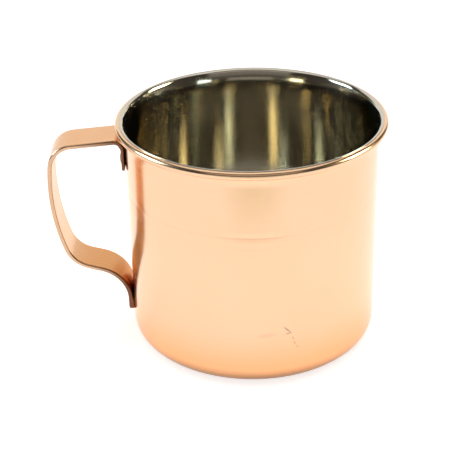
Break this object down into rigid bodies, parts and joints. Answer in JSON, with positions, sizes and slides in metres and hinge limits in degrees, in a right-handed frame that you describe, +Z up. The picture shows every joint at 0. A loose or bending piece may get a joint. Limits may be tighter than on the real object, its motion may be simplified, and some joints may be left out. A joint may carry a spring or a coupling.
{
  "type": "mug",
  "caption": "Straight-sided copper mug with a rolled rim, a bright metal lining and a bent strap handle welded to its wall.",
  "frame": {"origin": "on the cup's axis, level with the ring the base stands on", "axes": "+Z up along the cup's axis towards the rim, the handle points along -X"},
  "size_m": [0.1131, 0.09, 0.0788],
  "materials": {
    "copper": "polished",
    "lining": "brushed",
    "handle_copper": "satin",
    "weld_copper": "dull"
  },
  "bodies": {
    "root": {"copper_body": "copper", "nickel_lining": "lining", "handle_strap": "handle_copper", "upper_weld_spots": "weld_copper", "lower_weld_spots": "weld_copper"}
  },
  "joints": []
}
